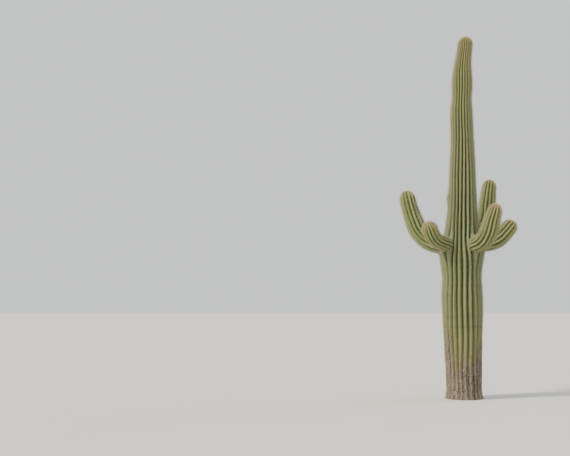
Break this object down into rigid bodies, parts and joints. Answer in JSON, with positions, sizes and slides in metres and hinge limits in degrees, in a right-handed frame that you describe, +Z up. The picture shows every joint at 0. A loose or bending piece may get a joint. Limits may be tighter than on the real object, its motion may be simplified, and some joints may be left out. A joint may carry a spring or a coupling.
{
  "type": "saguaro cactus",
  "caption": "Tall ribbed desert cactus with a slightly curved, tapering trunk and stout upturned arms, rooted in level ground.",
  "frame": {"origin": "on the ground, at the middle of the flat cut under the trunk", "axes": "+Z up along the trunk, +X to the right in the picture's view, -Y towards the viewer"},
  "size_m": [1.9813, 1.6697, 6.3],
  "materials": {
    "trunk_skin": "satin waxy living skin, grey-green, corky grey-brown at the foot",
    "arm_skin": "satin waxy living skin, a fresher green than the trunk",
    "areole_felt": "short matt wool on the spine cushions along the rib crests",
    "spine": "hard matt needles, tan when young and grey when old"
  },
  "bodies": {
    "root": {"trunk": "trunk_skin", "left_arm_elbow": "arm_skin", "left_arm_upright": "arm_skin", "front_left_arm_elbow": "arm_skin", "front_left_arm_upright": "arm_skin", "back_right_arm_elbow": "arm_skin", "back_right_arm_upright": "arm_skin", "front_right_arm_elbow": "arm_skin", "front_right_arm_upright": "arm_skin", "right_arm_elbow": "arm_skin", "right_arm_upright": "arm_skin"}
  },
  "joints": []
}
